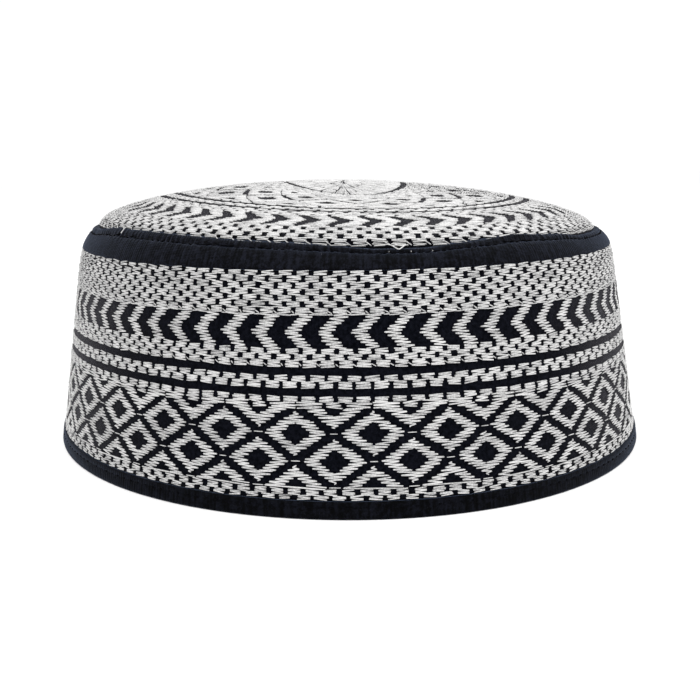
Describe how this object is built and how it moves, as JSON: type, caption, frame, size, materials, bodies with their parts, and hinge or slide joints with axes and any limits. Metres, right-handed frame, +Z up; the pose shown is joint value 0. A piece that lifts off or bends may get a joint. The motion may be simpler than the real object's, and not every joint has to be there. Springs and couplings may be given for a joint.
{
  "type": "kufi cap",
  "caption": "Stiff oval kufi cap with an embroidered side band, a low domed crown, black piping round its top corner and a bound hem.",
  "frame": {"origin": "middle of the hem's oval, on the surface that the hem rests on", "axes": "+X across the cap's width, +Y along its length, from front to back, +Z up"},
  "size_m": [0.18, 0.198, 0.0762],
  "materials": {
    "black_cotton": "matt black cotton cloth",
    "black_tape": "finely ribbed black tape with a slight sheen",
    "white_thread": "off-white embroidery thread"
  },
  "bodies": {
    "root": {"side_band": "black_cotton", "crown": "black_cotton", "crown_piping": "black_tape", "hem_binding": "black_tape"}
  },
  "joints": []
}
